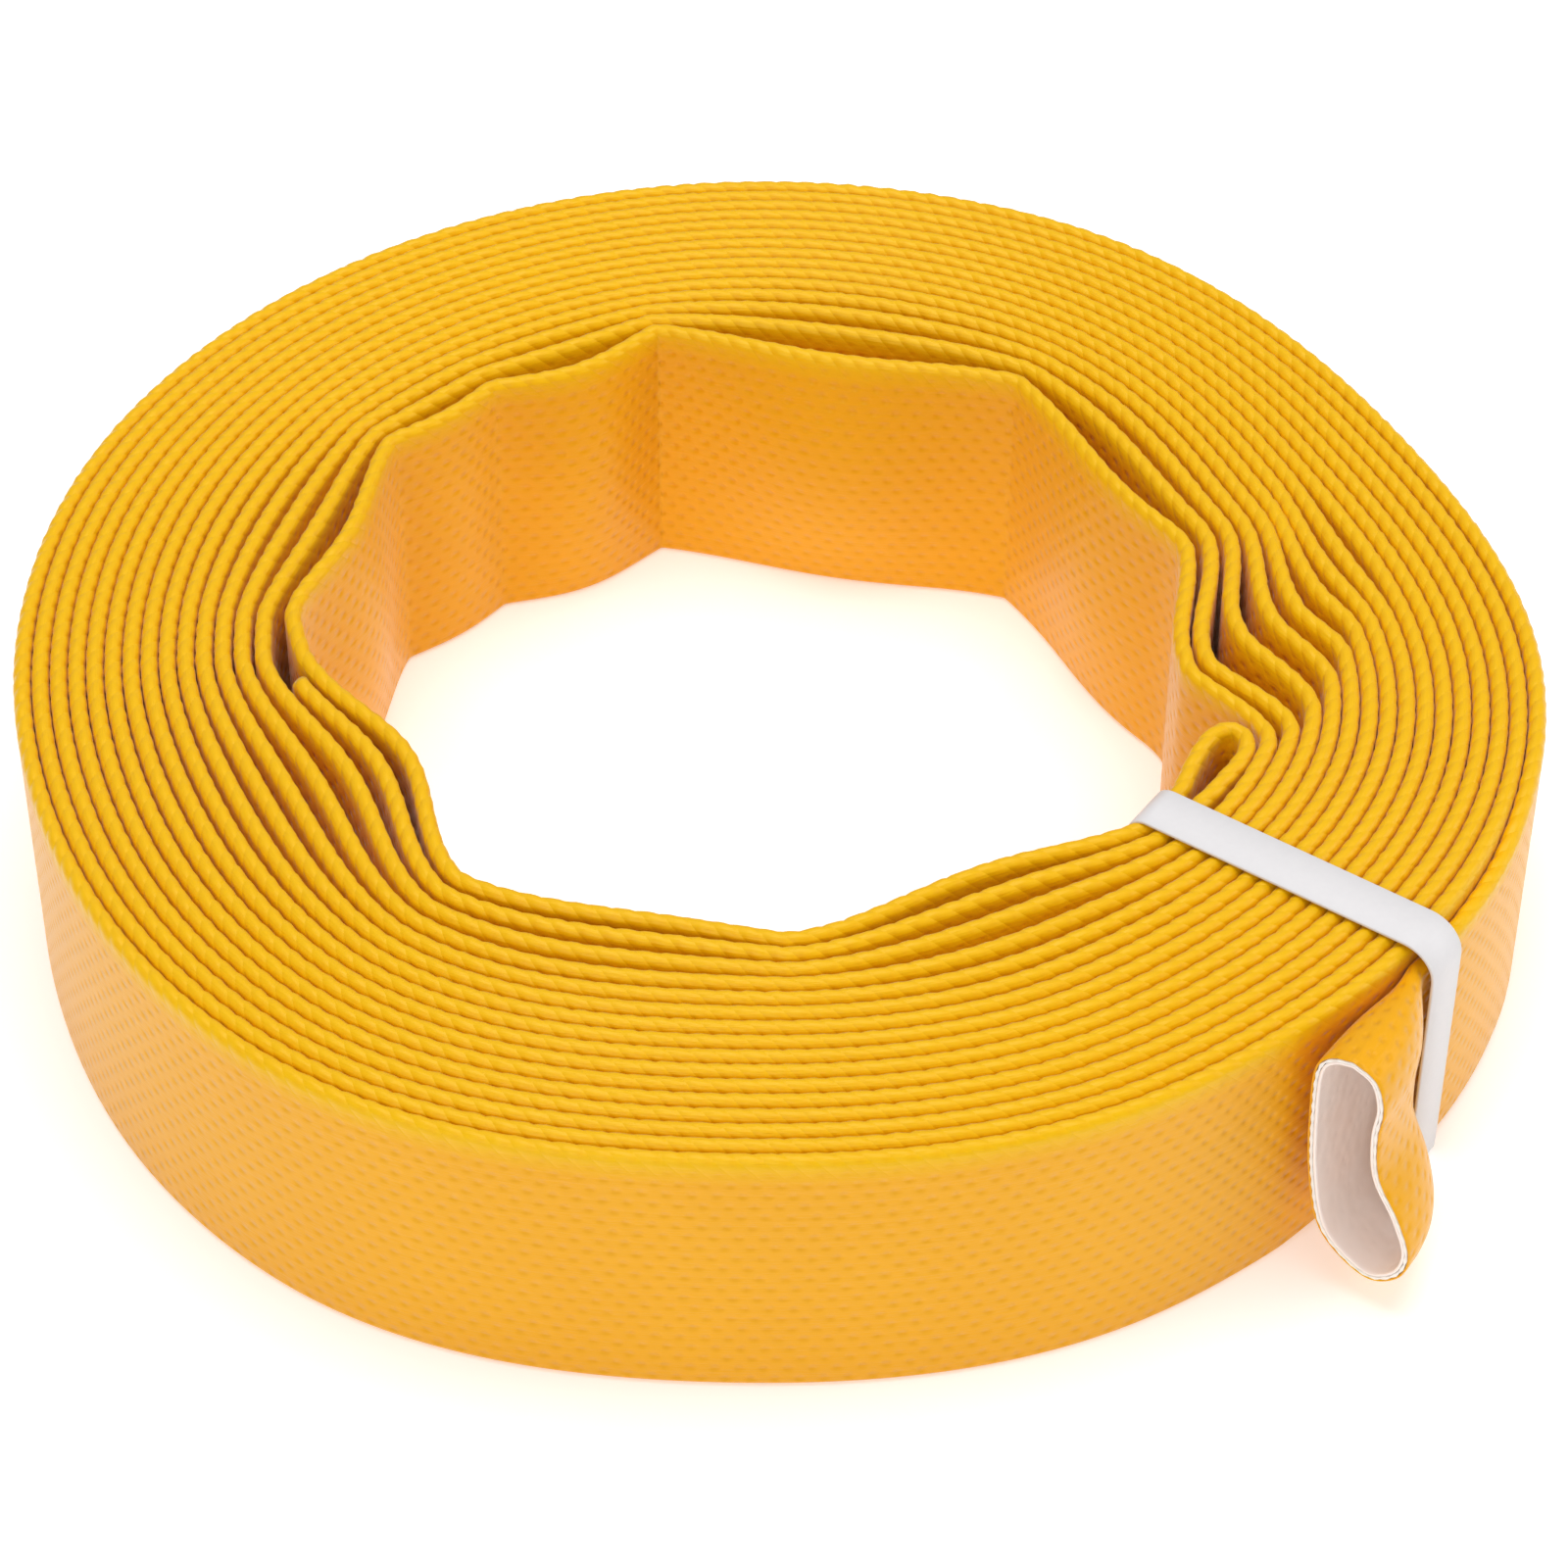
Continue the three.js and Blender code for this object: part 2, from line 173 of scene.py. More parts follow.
def through(points, count):
    """A smooth curve through control points."""
    points = np.vstack([2 * points[0] - points[1], points, 2 * points[-1] - points[-2]])
    t = np.linspace(0, 1, count, endpoint=False)[:, None]
    spans = [0.5 * (2 * b + (c - a) * t + (2 * a - 5 * b + 4 * c - d) * t ** 2
                    + (3 * b - a - 3 * c + d) * t ** 3)
             for a, b, c, d in zip(points, points[1:], points[2:], points[3:])]
    return np.vstack(spans + [points[-2:-1]])


last_wound = TURNS * 360 + (-33.0 - BAND_AZIMUTH)
leg_wound = TURNS * 360 + (LEG_END_AZIMUTH - BAND_AZIMUTH)
wound = np.arange(0, last_wound, 0.25)
turns_path = polar(BAND_AZIMUTH + wound, winding_radius(wound))
leg = np.arange(TURNS * 360 + (-36.0 - BAND_AZIMUTH), leg_wound, -0.5)
leg_path = polar(BAND_AZIMUTH + leg, 0.5 * (winding_radius(leg) + winding_radius(leg - 360)))
loop = through(np.vstack([turns_path[-12:-11], polar(*np.array(HAIRPIN).T), leg_path[4:5]]), 12)
path = np.vstack([turns_path[:-12], loop, leg_path[5:]])
bows = np.concatenate([mid_height_bow(wound[:-12]), np.zeros(len(loop) + len(leg_path[5:]))])
path, travel, (bows,) = evenly(path, 0.25, bows)
path = rounded(path, 10)
azimuths = (np.degrees(np.arctan2(path[:, 1], path[:, 0])) + 180) % 360 - 180
entering = np.clip((azimuths - GROOVE_ENDS[0]) / (GROOVE_FLAT[0] - GROOVE_ENDS[0]), 0, 1)
leaving = np.clip((GROOVE_ENDS[1] - azimuths) / (GROOVE_ENDS[1] - GROOVE_FLAT[1]), 0, 1)
rises = GROOVE_DEPTH * np.minimum(entering, leaving)
PRESS_DEPTH, PRESS_SPREAD, PRESS_TURNS = 3.3, 6.0, 0.5
BAND_SLIDE = 8.0
from_band = azimuths - BAND_AZIMUTH - 0.5 * BAND_SLIDE
from_band = np.maximum(np.abs(from_band) - 0.5 * BAND_SLIDE - 2, 0) / PRESS_SPREAD
presses = PRESS_DEPTH * np.exp(-from_band ** 2 - travel / (PRESS_TURNS * 2 * np.pi * OUTER_RADIUS))


def rounded_outline(radius, fold_points, side_points):
    """Half-thickness and height of points round the flat hose, from the middle of its lower fold."""
    top, bottom = HOSE_WIDTH - radius, radius
    up = np.linspace(bottom, top, side_points + 2)[1:-1]
    angles = np.linspace(0, np.pi, fold_points)
    foot = [(radius * math.sin(a), bottom - radius * math.cos(a)) for a in angles if 0 < a < 1.6]
    head = [(radius * math.cos(a), top + radius * math.sin(a)) for a in angles]
    right = foot + [(radius, z) for z in up]
    return [(0, 0)] + right + head + [(-x, z) for x, z in right[::-1]] + [(0, 0)]


def hose_section(name, outline):
    """The outline of the flat hose across its length, as an open loop that ends where it starts."""
    outline = np.array(outline)
    girth = np.concatenate([[0], np.cumsum(np.linalg.norm(np.diff(outline, axis=0), axis=1))])
    mesh = bpy.data.meshes.new(name)
    points = [(x * MM, -z * MM, 0) for x, z in outline]
    mesh.from_pydata(points, [(i, i + 1) for i in range(len(points) - 1)], [])
    mesh.attributes.new("girth", "FLOAT", "POINT").data.foreach_set("value", (girth - girth[-1] / 2) * MM)
    mesh.attributes.new("height", "FLOAT", "POINT").data.foreach_set("value", outline[:, 1] / HOSE_WIDTH)
    section = bpy.data.objects.new(name, mesh)
    bpy.context.scene.collection.objects.link(section)
    section.hide_render = True
    return section


def stretch_rail(name, start, end, spacing):
    """The line that a stretch of the hose follows, with what changes along it."""
    inside = (travel >= start) & (travel <= end)
    line, _, (bow, rise, press, along) = evenly(path[inside], spacing, bows[inside], rises[inside],
                                                presses[inside], travel[inside])
    ahead = np.gradient(line, axis=0)
    ahead /= np.linalg.norm(ahead, axis=1)[:, None]
    mesh = bpy.data.meshes.new(name)
    points = np.column_stack([line * MM + WINDING_AXIS, np.zeros(len(line))])
    mesh.from_pydata(points.tolist(), [(i, i + 1) for i in range(len(points) - 1)], [])
    for label, values in (("travel", along * MM), ("bow", bow * MM), ("rise", rise * MM),
                          ("press", press * MM)):
        mesh.attributes.new(label, "FLOAT", "POINT").data.foreach_set("value", values)
    outwards = np.column_stack([ahead[:, 1], -ahead[:, 0], np.zeros(len(line))])
    mesh.attributes.new("outwards", "FLOAT_VECTOR", "POINT").data.foreach_set("vector", outwards.ravel())
    rail = bpy.data.objects.new(name, mesh)
    bpy.context.scene.collection.objects.link(rail)
    return rail


def add_node(tree, kind, inputs=(), **settings):
    """A node of a tree, with its settings, and its inputs as values or as sockets to link from."""
    node = tree.nodes.new(kind)
    for setting, value in settings.items():
        setattr(node, setting, value)
    for socket, value in dict(inputs).items():
        target = node.inputs[socket]
        if isinstance(value, bpy.types.NodeSocket):
            tree.links.new(value, target)
        else:
            target.default_value = value
    return node


def sums(tree, operation, first, second=None, third=None):
    given = {i: v for i, v in enumerate((first, second, third)) if v is not None}
    return add_node(tree, "ShaderNodeMath", given, operation=operation).outputs[0]


def attribute(tree, name, kind="FLOAT"):
    return add_node(tree, "GeometryNodeInputNamedAttribute", {"Name": name}, data_type=kind).outputs[0]


# The tree that draws a section of hose along its line, then raises the yarns on its folded edges
hose_tree = bpy.data.node_groups.new("flat_hose_along_line", "GeometryNodeTree")
HOSE_INPUTS = {"Line": "NodeSocketGeometry", "Cover Section": "NodeSocketObject",
               "Slit Section": "NodeSocketObject", "Yarn Pitch": "NodeSocketFloat",
               "Yarn Rise": "NodeSocketFloat", "Yarn Slant": "NodeSocketFloat",
               "Fold Reach": "NodeSocketFloat", "Waviness": "NodeSocketFloat",
               "Vinyl": "NodeSocketMaterial"}
for label, kind in HOSE_INPUTS.items():
    hose_tree.interface.new_socket(label, in_out="INPUT", socket_type=kind)
hose_tree.interface.new_socket("Hose", in_out="OUTPUT", socket_type="NodeSocketGeometry")
given = hose_tree.nodes.new("NodeGroupInput").outputs
line = add_node(hose_tree, "GeometryNodeMeshToCurve", {"Mesh": given["Line"]}).outputs[0]
line = add_node(hose_tree, "GeometryNodeSetCurveNormal", {"Curve": line}, mode="Z_UP").outputs[0]


def drawn_along(section):
    shape = add_node(hose_tree, "GeometryNodeObjectInfo", {"Object": section}).outputs["Geometry"]
    shape = add_node(hose_tree, "GeometryNodeMeshToCurve", {"Mesh": shape}).outputs[0]
    return add_node(hose_tree, "GeometryNodeCurveToMesh", {"Curve": line, "Profile Curve": shape}).outputs[0]


cover = add_node(hose_tree, "GeometryNodeFlipFaces", {"Mesh": drawn_along(given["Cover Section"])}).outputs[0]
chart = add_node(hose_tree, "ShaderNodeCombineXYZ", {
    "X": attribute(hose_tree, "travel"), "Y": attribute(hose_tree, "girth")}).outputs[0]
cover = add_node(hose_tree, "GeometryNodeStoreNamedAttribute", {
    "Geometry": cover, "Name": "weave", "Value": chart}, data_type="FLOAT2", domain="CORNER").outputs[0]
cover = add_node(hose_tree, "GeometryNodeMergeByDistance", {"Geometry": cover, "Distance": 1e-6}).outputs[0]
girth_from_fold = sums(hose_tree, "ABSOLUTE", attribute(hose_tree, "girth"))
near_fold = add_node(hose_tree, "ShaderNodeMapRange", {
    "Value": girth_from_fold, "From Min": given["Fold Reach"], "From Max": 0.0}).outputs[0]
slanted = sums(hose_tree, "MULTIPLY_ADD", attribute(hose_tree, "girth"), given["Yarn Slant"],
               attribute(hose_tree, "travel"))
yarn = sums(hose_tree, "DIVIDE", slanted, given["Yarn Pitch"])
lump = sums(hose_tree, "ABSOLUTE", sums(hose_tree, "SINE", sums(hose_tree, "MULTIPLY", yarn, math.pi)))
lump = sums(hose_tree, "SUBTRACT", lump, 0.6)
drift = add_node(hose_tree, "ShaderNodeTexNoise", {
    "W": sums(hose_tree, "MULTIPLY", attribute(hose_tree, "travel"), 130.0), "Detail": 1.0},
    noise_dimensions="1D").outputs[0]
drift = sums(hose_tree, "MULTIPLY", sums(hose_tree, "SUBTRACT", drift, 0.5), given["Waviness"])
rise = sums(hose_tree, "MULTIPLY", sums(hose_tree, "MULTIPLY", lump, near_fold), given["Yarn Rise"])
rise = sums(hose_tree, "MULTIPLY_ADD", drift, near_fold, rise)
raised = add_node(hose_tree, "ShaderNodeVectorMath", {
    0: add_node(hose_tree, "GeometryNodeInputNormal").outputs[0], "Scale": rise},
    operation="SCALE").outputs[0]
cover = add_node(hose_tree, "GeometryNodeSetPosition", {"Geometry": cover, "Offset": raised}).outputs[0]
slit = drawn_along(given["Slit Section"])
slit = add_node(hose_tree, "GeometryNodeMergeByDistance", {"Geometry": slit, "Distance": 1e-6}).outputs[0]
hose = hose_tree.nodes.new("GeometryNodeJoinGeometry")
hose_tree.links.new(cover, hose.inputs[0])
hose_tree.links.new(slit, hose.inputs[0])
height = attribute(hose_tree, "height")
bowed = sums(hose_tree, "SINE", sums(hose_tree, "MULTIPLY", height, math.pi))
bowed = sums(hose_tree, "MULTIPLY", sums(hose_tree, "POWER", bowed, 1.3), attribute(hose_tree, "bow"))
inwards = add_node(hose_tree, "ShaderNodeVectorMath", {
    0: attribute(hose_tree, "outwards", "FLOAT_VECTOR"), "Scale": sums(hose_tree, "MULTIPLY", bowed, -1.0)},
    operation="SCALE").outputs[0]
lifted = sums(hose_tree, "MULTIPLY", attribute(hose_tree, "rise"),
              sums(hose_tree, "POWER", sums(hose_tree, "SUBTRACT", 1.0, height), 3.0))
lifted = sums(hose_tree, "SUBTRACT", lifted, sums(hose_tree, "MULTIPLY", attribute(hose_tree, "press"),
                                                  sums(hose_tree, "POWER", height, 4.0)))
shift = add_node(hose_tree, "ShaderNodeVectorMath", {
    0: inwards, 1: add_node(hose_tree, "ShaderNodeCombineXYZ", {"Z": lifted}).outputs[0]},
    operation="ADD").outputs[0]
hose = add_node(hose_tree, "GeometryNodeSetPosition", {
    "Geometry": hose.outputs[0], "Offset": shift}).outputs[0]
hose = add_node(hose_tree, "GeometryNodeRealizeInstances", {"Geometry": hose}).outputs[0]
hose = add_node(hose_tree, "GeometryNodeSetMaterial", {
    "Geometry": hose, "Material": given["Vinyl"]}).outputs[0]
hose_tree.links.new(hose, hose_tree.nodes.new("NodeGroupOutput").inputs[0])


def material(name):
    made = bpy.data.materials.new(name)
    made.use_nodes = True
    tree = made.node_tree
    return made, tree, tree.nodes["Principled BSDF"]


def mixed(tree, factor, first, second):
    """A colour between two colours."""
    node = add_node(tree, "ShaderNodeMix", {0: factor, 6: first, 7: second}, data_type="RGBA")
    return node.outputs[2]


def weave_height(tree, travel_mm, girth_mm):
    """Dimples between the yarns, row by row, each row shifted along from the last."""
    row = sums(tree, "DIVIDE", girth_mm, ROW_PITCH)
    row_number = sums(tree, "FLOOR", row)
    along = sums(tree, "MULTIPLY_ADD", row_number, 0.46, sums(tree, "DIVIDE", travel_mm, YARN_PITCH))
    from_middle = sums(tree, "SUBTRACT", sums(tree, "FRACT", along), 0.5)
    from_row = sums(tree, "SUBTRACT", sums(tree, "FRACT", row), 0.5)
    spread = sums(tree, "ADD", sums(tree, "POWER", sums(tree, "DIVIDE", from_middle, 0.20), 2.0),
                  sums(tree, "POWER", sums(tree, "DIVIDE", from_row, 0.26), 2.0))
    return sums(tree, "EXPONENT", sums(tree, "MULTIPLY", spread, -1.0))


def vinyl(name):
    """Plasticised yellow vinyl drawn tight over the yarns: satin, painted lighter and yellower near the top
    fold where the overhead light falls, with painted shade darkening the weave dimples.
    """
    made, tree, shader = material(name)
    chart = add_node(tree, "ShaderNodeUVMap", uv_map="weave").outputs[0]
    flat = add_node(tree, "ShaderNodeVectorMath", {0: chart, "Scale": 1 / MM}, operation="SCALE").outputs[0]
    parts = add_node(tree, "ShaderNodeSeparateXYZ", {0: flat}).outputs
    along, around = parts["X"], parts["Y"]
    dimple = weave_height(tree, along, around)
    on_side = add_node(tree, "ShaderNodeMapRange", {
        "Value": sums(tree, "ABSOLUTE", around), "From Min": 2.0, "From Max": 6.0}).outputs[0]
    streaks = add_node(tree, "ShaderNodeTexNoise", {
        "Vector": add_node(tree, "ShaderNodeVectorMath", {0: flat, 1: (0.14, 1.9, 1.0)},
                           operation="MULTIPLY").outputs[0],
        "Scale": 1.0, "Detail": 3.0, "Roughness": 0.6}, noise_dimensions="2D").outputs[0]
    patches = add_node(tree, "ShaderNodeTexNoise", {
        "Vector": flat, "Scale": 0.045, "Detail": 2.0}, noise_dimensions="2D").outputs[0]
    slanted = sums(tree, "DIVIDE", sums(tree, "MULTIPLY_ADD", around, YARN_SLANT, along), YARN_PITCH)
    notch = sums(tree, "ABSOLUTE", sums(tree, "SINE", sums(tree, "MULTIPLY", slanted, math.pi)))
    notch = sums(tree, "POWER", sums(tree, "SUBTRACT", 1.0, notch), 1.6)
    notch = sums(tree, "MULTIPLY", notch, sums(tree, "SUBTRACT", 1.0, on_side))
    depth = sums(tree, "MULTIPLY_ADD", sums(tree, "MULTIPLY", dimple, on_side), -1.0,
                 sums(tree, "MULTIPLY", streaks, 0.35))
    depth = sums(tree, "MULTIPLY_ADD", notch, -0.42, depth)
    relief = add_node(tree, "ShaderNodeBump", {
        "Height": depth, "Strength": 0.8, "Distance": 0.00034}).outputs[0]
    # painted light: near the top fold the base colour is a lighter, yellower copy of the side colour,
    # standing in for the overhead light falling there
    base = mixed(tree, on_side, (0.88, 0.50, 0.001, 1), (0.87, 0.405, 0.003, 1))
    # painted shade: the weave dimples are darkened in colour as if shaded in their hollows; the noise patches
    # add the vinyl's own random mottle
    mottle_and_dimple_shade = sums(tree, "MULTIPLY_ADD", patches, 0.16, sums(tree, "MULTIPLY", dimple, 0.16))
    base = mixed(tree, mottle_and_dimple_shade, base, (0.72, 0.27, 0.002, 1))
    tree.links.new(base, shader.inputs["Base Color"])
    rough = sums(tree, "MULTIPLY_ADD", streaks, 0.16, 0.30)
    tree.links.new(rough, shader.inputs["Roughness"])
    tree.links.new(relief, shader.inputs["Normal"])
    shader.inputs["Specular IOR Level"].default_value = 0.42
    shader.inputs["Specular Tint"].default_value = (1.0, 0.86, 0.50, 1)
    shader.inputs["Sheen Weight"].default_value = 0.34
    shader.inputs["Sheen Roughness"].default_value = 0.28
    shader.inputs["Sheen Tint"].default_value = (1.0, 0.80, 0.68, 1)
    return made


wound_vinyl = vinyl("hose_vinyl_cover")


def closed_ends(mesh):
    """Joins the cover to the slit inside it at both cut ends."""
    work = bmesh.new()
    work.from_mesh(mesh)
    left = {edge for edge in work.edges if edge.is_boundary}
    rims = []
    while left:
        rim, waiting = [], [left.pop()]
        while waiting:
            edge = waiting.pop()
            rim.append(edge)
            for vert in edge.verts:
                for other in vert.link_edges:
                    if other in left:
                        left.remove(other)
                        waiting.append(other)
        middle = sum((edge.verts[0].co for edge in rim), edge.verts[0].co * 0) / len(rim)
        rims.append((middle, rim))
    while rims:
        middle, rim = rims.pop()
        mate = min(rims, key=lambda other: (other[0] - middle).length)
        rims.remove(mate)
        bmesh.ops.bridge_loops(work, edges=rim + mate[1])
    bmesh.ops.recalc_face_normals(work, faces=work.faces)
    work.to_mesh(mesh)
    work.free()


def hose_stretch(name, start, end, section, slit_section):
    """One stretch of the hose, as a plain mesh."""
    rail = stretch_rail(name, start, end, YARN_PITCH / STATIONS_A_YARN)
    sweep = rail.modifiers.new("sweep", "NODES")
    sweep.node_group = hose_tree
    sizes = {"Cover Section": section, "Slit Section": slit_section, "Yarn Pitch": YARN_PITCH * MM,
             "Yarn Rise": 0.26 * MM, "Yarn Slant": YARN_SLANT, "Fold Reach": 5.0 * MM,
             "Waviness": 0.35 * MM, "Vinyl": wound_vinyl}
    for item in hose_tree.interface.items_tree:
        if item.name in sizes:
            sweep[item.identifier] = sizes[item.name]
    ready = rail.evaluated_get(bpy.context.evaluated_depsgraph_get())
    mesh = bpy.data.meshes.new_from_object(ready)
    rail.modifiers.remove(sweep)
    closed_ends(mesh)
    mesh.shade_smooth()
    rail.data = mesh
    for label in ("outwards", "bow", "rise", "press", "height", "travel", "girth"):
        if label in mesh.attributes:
            mesh.attributes.remove(mesh.attributes[label])
    if not mesh.materials:
        mesh.materials.append(wound_vinyl)
    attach(rail, "roll")
    return rail


def travel_at(wound_degrees):
    """How far along the hose a number of degrees of winding is."""
    here = polar(BAND_AZIMUTH + wound_degrees, winding_radius(np.array([float(wound_degrees)]))[0])
    return travel[np.argmin(np.linalg.norm(path - here, axis=1))]


half = HOSE_THICKNESS / 2
slit, slit_top = half - COVER_WALL, HOSE_WIDTH - EDGE_WALL
fine_section = hose_section("fine_hose_section", rounded_outline(half, 11, 9))
plain_section = hose_section("plain_hose_section", rounded_outline(half, 6, 2))
slit_section = hose_section("hose_slit_section", [(-slit, EDGE_WALL), (slit, EDGE_WALL), (slit, slit_top),
                                                  (-slit, slit_top), (-slit, EDGE_WALL)])
joins = [travel_at(360 * turn) for turn in (0, 1, 7, TURNS - 1)] + [travel[-1]]
names = ["hose_outer_turn", "hose_turns_next_in", "hose_turns_further_in", "hose_inner_turn_and_end"]
for name, start, end in zip(names, joins, joins[1:]):
    outline = plain_section if "turns" in name else fine_section
    stretch = hose_stretch(name, start, end, outline, slit_section)
    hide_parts("coil_cover")
for section in (fine_section, plain_section, slit_section):
    bpy.data.objects.remove(section)

# ---------------------------------------------------------------- the lining inside the wound hose
# A thin white lining, bonded to the inside of the woven tube. Pressed flat it is one strip in the
# slit of the hose, and only its edge shows, at the cut inner end.
LINING_THICKNESS, LINING_STEP, LINING_GAP = 0.6, 3.8, 0.3
line, _, (lining_rises, lining_bows, lining_presses) = evenly(path, LINING_STEP, rises, bows, presses)
ahead = np.gradient(line, axis=0)
ahead /= np.linalg.norm(ahead, axis=1)[:, None]
aside = np.column_stack([ahead[:, 1], -ahead[:, 0]])
levels = np.linspace(EDGE_WALL + LINING_GAP, HOSE_WIDTH - EDGE_WALL - LINING_GAP, 7)
rings = []
for side, heights in ((0.5, levels), (-0.5, levels[::-1])):
    for level in heights:
        bowed = lining_bows * math.sin(math.pi * level / HOSE_WIDTH) ** 1.3
        flat = line + aside * (side * LINING_THICKNESS - bowed)[:, None]
        lifted = (level + lining_rises * (1 - level / HOSE_WIDTH) ** 3
                  - lining_presses * (level / HOSE_WIDTH) ** 4)
        rings.append(np.column_stack([flat * MM + WINDING_AXIS, lifted * MM]))
rings = np.stack(rings, axis=1)


def skinned(name, rings):
    """A mesh over rings of points, closed at both ends."""
    count, around = rings.shape[:2]
    corner = np.arange(count * around).reshape(count, around)
    faces = [(corner[i, j], corner[i, (j + 1) % around], corner[i + 1, (j + 1) % around], corner[i + 1, j])
             for i in range(count - 1) for j in range(around)]
    faces += [tuple(corner[0, ::-1]), tuple(corner[-1])]
    mesh = bpy.data.meshes.new(name)
    mesh.from_pydata(rings.reshape(-1, 3).tolist(), [], [[int(i) for i in face] for face in faces])
    work = bmesh.new()
    work.from_mesh(mesh)
    bmesh.ops.recalc_face_normals(work, faces=work.faces)
    work.to_mesh(mesh)
    work.free()
    made = bpy.data.objects.new(name, mesh)
    bpy.context.scene.collection.objects.link(made)
    return made


def lining_with_painted_warm_shade(name):
    """White lining, pressed into the yarns behind it, tinted warm in random noise patches as painted shading
    that stands in for light bounced from the yellow cover.
    """
    made, tree, shader = material(name)
    place = add_node(tree, "ShaderNodeTexCoord").outputs["Object"]
    bumps = add_node(tree, "ShaderNodeTexVoronoi", {"Vector": place, "Scale": 420.0}, feature="SMOOTH_F1")
    patches = add_node(tree, "ShaderNodeTexNoise", {"Vector": place, "Scale": 90.0, "Detail": 2.0}).outputs[0]
    # painted shade: noise patches tint the white lining warmer and a little darker, standing in for light
    # bounced onto it from the yellow cover
    colour = mixed(tree, patches, (0.99, 0.93, 0.89, 1), (0.98, 0.82, 0.74, 1))
    tree.links.new(colour, shader.inputs["Base Color"])
    tree.links.new(add_node(tree, "ShaderNodeBump", {
        "Height": bumps.outputs[0], "Strength": 0.5, "Distance": 0.0003}).outputs[0],
        shader.inputs["Normal"])
    shader.inputs["Roughness"].default_value = 0.55
    return made


white_lining = lining_with_painted_warm_shade("white_lining")
wound_lining = skinned("wound_lining", rings)
wound_lining.data.materials.append(white_lining)
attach(wound_lining, "roll")
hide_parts("coil_lining")

# ---------------------------------------------------------------- the loose end: its vinyl cover
# The outer end of the hose comes out from under the band and opens into a bean-shaped mouth. It is
# a bare cut end: three bonded layers, of which the yellow vinyl is the outer one.
LOOSE_BEND, LOOSE_LENGTH, LOOSE_TILT = 2.6, 25.0, 3.0
MOUTH = [(5.2, 52.3), (1.2, 50.9), (-1.2, 47.1), (-1.4, 37.7), (-0.4, 23.7), (2.8, 11.9), (11.0, 6.3),
         (16.8, 9.1), (18.8, 15.2), (16.3, 22.4), (12.2, 29.5), (11.1, 37.7), (11.5, 44.7), (9.6, 50.2)]
MOUTH_BOTTOM = 6
PRESS_END, PRESS_FADE = 4.5, 12.0
GROOVE_END, GROOVE_FADE = 14.0, 8.0
HALF_ROUND, RINGS_ALONG = 88, 40
PINCH_HEIGHT, PINCH_SPREAD, PINCH_PLACE, PINCH_REACH, PINCH_DEPTH = 28.0, 6.0, 8.5, 3.6, 0.85
bend = np.linspace(0.0, -LOOSE_BEND, 9)
bent_part = polar(BAND_AZIMUTH + bend, winding_radius(bend))
heading = math.radians(BAND_AZIMUTH - LOOSE_BEND - 90 + LOOSE_TILT)
straight_on = np.array([math.cos(heading), math.sin(heading)])
straight = bent_part[-1] + np.linspace(0.5, LOOSE_LENGTH, 30)[:, None] * straight_on
loose_line, loose_travel, _ = evenly(rounded(np.vstack([bent_part, straight]), 3), 0.2)
LOOSE_SPAN = loose_travel[-1]


def evened(points, count):
    """Count points at even steps along a line, its ends included."""
    steps = np.concatenate([[0], np.cumsum(np.linalg.norm(np.diff(points, axis=0), axis=1))])
    wanted = np.linspace(0, steps[-1], count)
    return np.column_stack([np.interp(wanted, steps, points[:, i]) for i in range(points.shape[1])])


def halves(down, up):
    """Points round a section: down its inner wall and up its outer one."""
    return np.vstack([evened(down, HALF_ROUND + 1)[:-1], evened(up, HALF_ROUND + 1)[:-1]])


mouth_round = through(np.array(MOUTH + MOUTH[:1]), 16)
mouth_round[-1] = mouth_round[0]
turn_up = MOUTH_BOTTOM * 16
mouth_section = halves(mouth_round[:turn_up + 1], mouth_round[turn_up:])
flat_round = np.array(rounded_outline(HOSE_THICKNESS / 2, 21, 30)) + (HOSE_THICKNESS / 2, 0)
flat_top = int(np.argmax(flat_round[:, 1]))
flat_section = halves(flat_round[flat_top:], flat_round[:flat_top + 1])


def loose_section(along, inset):
    """Points round the hose, outwards and up, at a distance along the loose end."""
    opening = np.clip((along - 4.0) / (LOOSE_SPAN - 4.0), 0, 1)
    opening = 1 - (1 - opening) ** 2.4
    pinch = PINCH_DEPTH * np.exp(-((flat_section[:, 1] - PINCH_HEIGHT) / PINCH_SPREAD) ** 2
                                 - ((along - PINCH_PLACE) / PINCH_REACH) ** 2)
    share = np.where(np.arange(len(flat_section)) > HALF_ROUND, opening * (1 - pinch), opening)
    height = flat_section[:, 1] * (1 - opening) + mouth_section[:, 1] * opening
    level = flat_section[:, 1] / HOSE_WIDTH
    pressed = PRESS_DEPTH * np.exp(-(np.maximum(along - PRESS_END, 0) / PRESS_FADE) ** 2)
    raised = GROOVE_DEPTH * np.clip(1 - (along - GROOVE_END) / GROOVE_FADE, 0, 1)
    height = height - pressed * level ** 4 + raised * (1 - level) ** 3
    section = np.column_stack([flat_section[:, 0] * (1 - share) + mouth_section[:, 0] * share, height])
    section = 0.25 * np.roll(section, 1, 0) + 0.5 * section + 0.25 * np.roll(section, -1, 0)
    ahead = np.roll(section, -1, 0) - np.roll(section, 1, 0)
    ahead /= np.linalg.norm(ahead, axis=1)[:, None]
    return section + np.column_stack([-ahead[:, 1], ahead[:, 0]]) * inset


def loose_ring(along, inset):
    """The same points in the roll's place, in metres."""
    middle = np.array([np.interp(along, loose_travel, loose_line[:, i]) for i in (0, 1)])
    ahead = np.array([np.interp(along + 0.5, loose_travel, loose_line[:, i])
                      - np.interp(along - 0.5, loose_travel, loose_line[:, i]) for i in (0, 1)])
    outwards = np.array([-ahead[1], ahead[0]]) / np.linalg.norm(ahead)
    section = loose_section(along, inset)
    places = middle + outwards * (section[:, :1] - HOSE_THICKNESS / 2)
    return np.column_stack([places * MM + WINDING_AXIS, section[:, 1] * MM])


